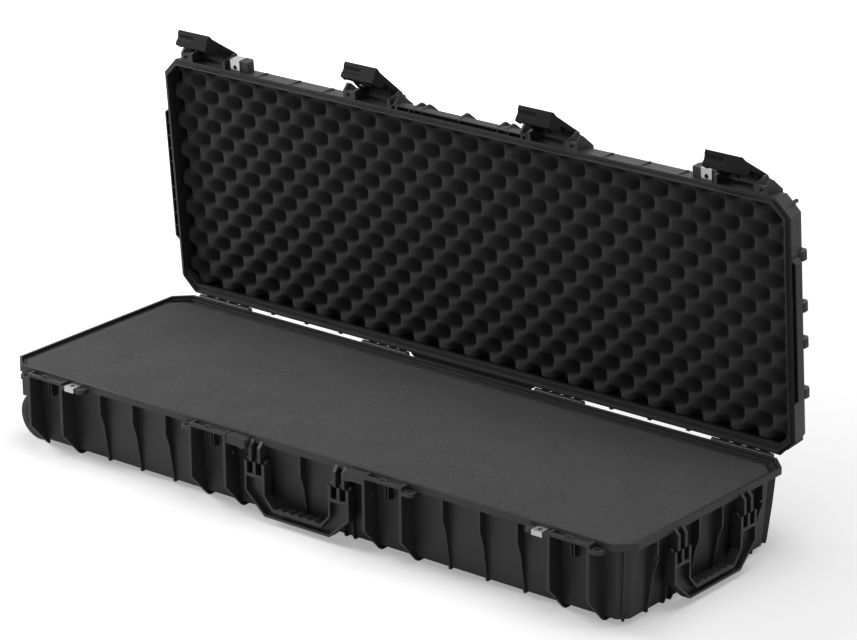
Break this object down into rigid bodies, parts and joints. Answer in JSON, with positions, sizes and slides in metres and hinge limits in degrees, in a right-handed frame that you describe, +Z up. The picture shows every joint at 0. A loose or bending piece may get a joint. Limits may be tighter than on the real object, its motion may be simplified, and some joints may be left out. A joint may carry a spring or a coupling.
{
  "type": "microphone case",
  "caption": "Long ribbed hard case, lid open: swing latches, drop handles, wheels, foam block in the tub and convoluted foam in the lid.",
  "frame": {"origin": "on the floor, under the middle of the tub, on the underside of the middle runner", "axes": "+X along the length towards the end with the handle, -Y towards the latches, +Z up"},
  "size_m": [1.2, 0.4628, 0.5988],
  "materials": {
    "black_plastic": "moulded, fine texture",
    "dark_foam": "open-cell foam",
    "grey_foam": "cut foam",
    "steel": "satin",
    "rubber": "matte",
    "wheel_plastic": "matte"
  },
  "bodies": {
    "base": {"base_shell": "black_plastic", "base_foam": "grey_foam", "hinge_pins": "steel", "base_lock_plates": "steel", "front_handle_pins": "steel", "side_handle_pins": "steel", "wheel_axles": "steel"},
    "lid": {"lid_frame": "black_plastic", "lid_panel": "black_plastic", "rim_seal": "rubber", "lid_foam": "dark_foam", "latch_pins": "steel", "lid_lock_plates": "steel"},
    "front_handle": {"front_handle": "black_plastic"},
    "side_handle": {"side_handle": "black_plastic"},
    "wheel_front": {"wheel_front": "wheel_plastic"},
    "wheel_rear": {"wheel_rear": "wheel_plastic"},
    "lever_1": {"latch_lever_1": "black_plastic", "hook_pin_1": "steel"},
    "hook_1": {"latch_hook_1": "black_plastic"},
    "lever_2": {"latch_lever_2": "black_plastic", "hook_pin_2": "steel"},
    "hook_2": {"latch_hook_2": "black_plastic"},
    "lever_3": {"latch_lever_3": "black_plastic", "hook_pin_3": "steel"},
    "hook_3": {"latch_hook_3": "black_plastic"},
    "lever_4": {"latch_lever_4": "black_plastic", "hook_pin_4": "steel"},
    "hook_4": {"latch_hook_4": "black_plastic"}
  },
  "joints": [
    {"name": "lid_hinge", "type": "hinge", "parent": "base", "child": "lid", "pos_m": [0, 0.2034, 0.1277], "axis": [1, 0, 0], "range_deg": [-20, 85.5]},
    {"name": "lever_1_pivot", "type": "hinge", "parent": "lid", "child": "lever_1", "pos_m": [-0.499, 0.19884, 0.54633], "axis": [1, 0, 0], "range_deg": [-60, 36.5]},
    {"name": "hook_1_pivot", "type": "hinge", "parent": "lever_1", "child": "hook_1", "pos_m": [-0.499, 0.15978, 0.56308], "axis": [1, 0, 0], "range_deg": [-8, 8]},
    {"name": "lever_2_pivot", "type": "hinge", "parent": "lid", "child": "lever_2", "pos_m": [-0.167, 0.19884, 0.54633], "axis": [1, 0, 0], "range_deg": [-60, 44]},
    {"name": "hook_2_pivot", "type": "hinge", "parent": "lever_2", "child": "hook_2", "pos_m": [-0.167, 0.1623, 0.56803], "axis": [1, 0, 0], "range_deg": [-8, 8]},
    {"name": "lever_3_pivot", "type": "hinge", "parent": "lid", "child": "lever_3", "pos_m": [0.167, 0.19884, 0.54633], "axis": [1, 0, 0], "range_deg": [-60, 38.5]},
    {"name": "hook_3_pivot", "type": "hinge", "parent": "lever_3", "child": "hook_3", "pos_m": [0.167, 0.16039, 0.56443], "axis": [1, 0, 0], "range_deg": [-8, 8]},
    {"name": "lever_4_pivot", "type": "hinge", "parent": "lid", "child": "lever_4", "pos_m": [0.499, 0.19884, 0.54633], "axis": [1, 0, 0], "range_deg": [-60, 36]},
    {"name": "hook_4_pivot", "type": "hinge", "parent": "lever_4", "child": "hook_4", "pos_m": [0.499, 0.15963, 0.56274], "axis": [1, 0, 0], "range_deg": [-8, 8]},
    {"name": "front_handle_pivot", "type": "hinge", "parent": "base", "child": "front_handle", "pos_m": [0, -0.1973, 0.092], "axis": [1, 0, 0], "range_deg": [-95, 0]},
    {"name": "side_handle_pivot", "type": "hinge", "parent": "base", "child": "side_handle", "pos_m": [0.5883, 0, 0.092], "axis": [0, 1, 0], "range_deg": [-95, 0]},
    {"name": "wheel_front_spin", "type": "hinge", "parent": "base", "child": "wheel_front", "pos_m": [-0.555, -0.174, 0.0383], "axis": [0, 1, 0], "continuous": true},
    {"name": "wheel_rear_spin", "type": "hinge", "parent": "base", "child": "wheel_rear", "pos_m": [-0.555, 0.174, 0.0383], "axis": [0, 1, 0], "continuous": true}
  ]
}
